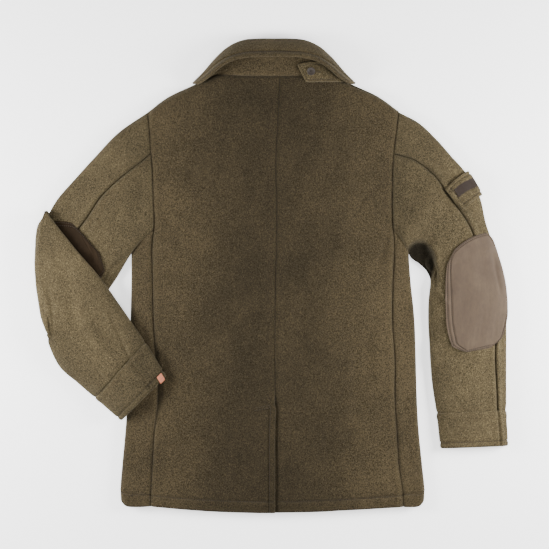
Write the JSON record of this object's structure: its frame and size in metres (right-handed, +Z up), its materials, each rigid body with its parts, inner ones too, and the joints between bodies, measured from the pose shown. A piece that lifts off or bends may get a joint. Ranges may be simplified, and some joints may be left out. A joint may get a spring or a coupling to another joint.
{
  "type": "pea coat",
  "caption": "Short double-breasted wool coat laid face down, with one sleeve folded back, elbow patches, a sleeve strap, a stand-and-fall collar and a hem vent.",
  "frame": {"origin": "centre of the bounding box, on the floor plane under the fronts", "axes": "+Z up from the floor towards the back of the coat, +Y from hem to collar, -X towards the wearer's left sleeve"},
  "size_m": [0.839, 0.8461, 0.0482],
  "materials": {
    "wool": "felted wool, matt",
    "patch_canvas": "brushed cotton, matt",
    "label_weave": "woven, matt",
    "tag_leather": "smooth, satin",
    "button_horn": "satin"
  },
  "bodies": {
    "root": {"back_left": "wool", "back_right": "wool", "side_left": "wool", "side_right": "wool", "front_left": "wool", "front_right": "wool", "sleeve_left_top": "wool", "sleeve_left_under": "wool", "sleeve_right_top": "wool", "sleeve_right_under": "wool", "cuff_left": "wool", "cuff_right": "wool", "sleeve_strap": "wool", "collar_stand": "wool", "collar_fall": "wool", "throat_tab": "wool", "lapel_left": "wool", "lapel_right": "wool", "elbow_patch_left": "patch_canvas", "elbow_patch_right": "patch_canvas", "strap_label": "label_weave", "cuff_tag": "tag_leather", "tab_button": "button_horn", "front_button_left_1": "button_horn", "front_button_left_2": "button_horn", "front_button_left_3": "button_horn", "front_button_right_1": "button_horn", "front_button_right_2": "button_horn", "front_button_right_3": "button_horn"}
  },
  "joints": []
}
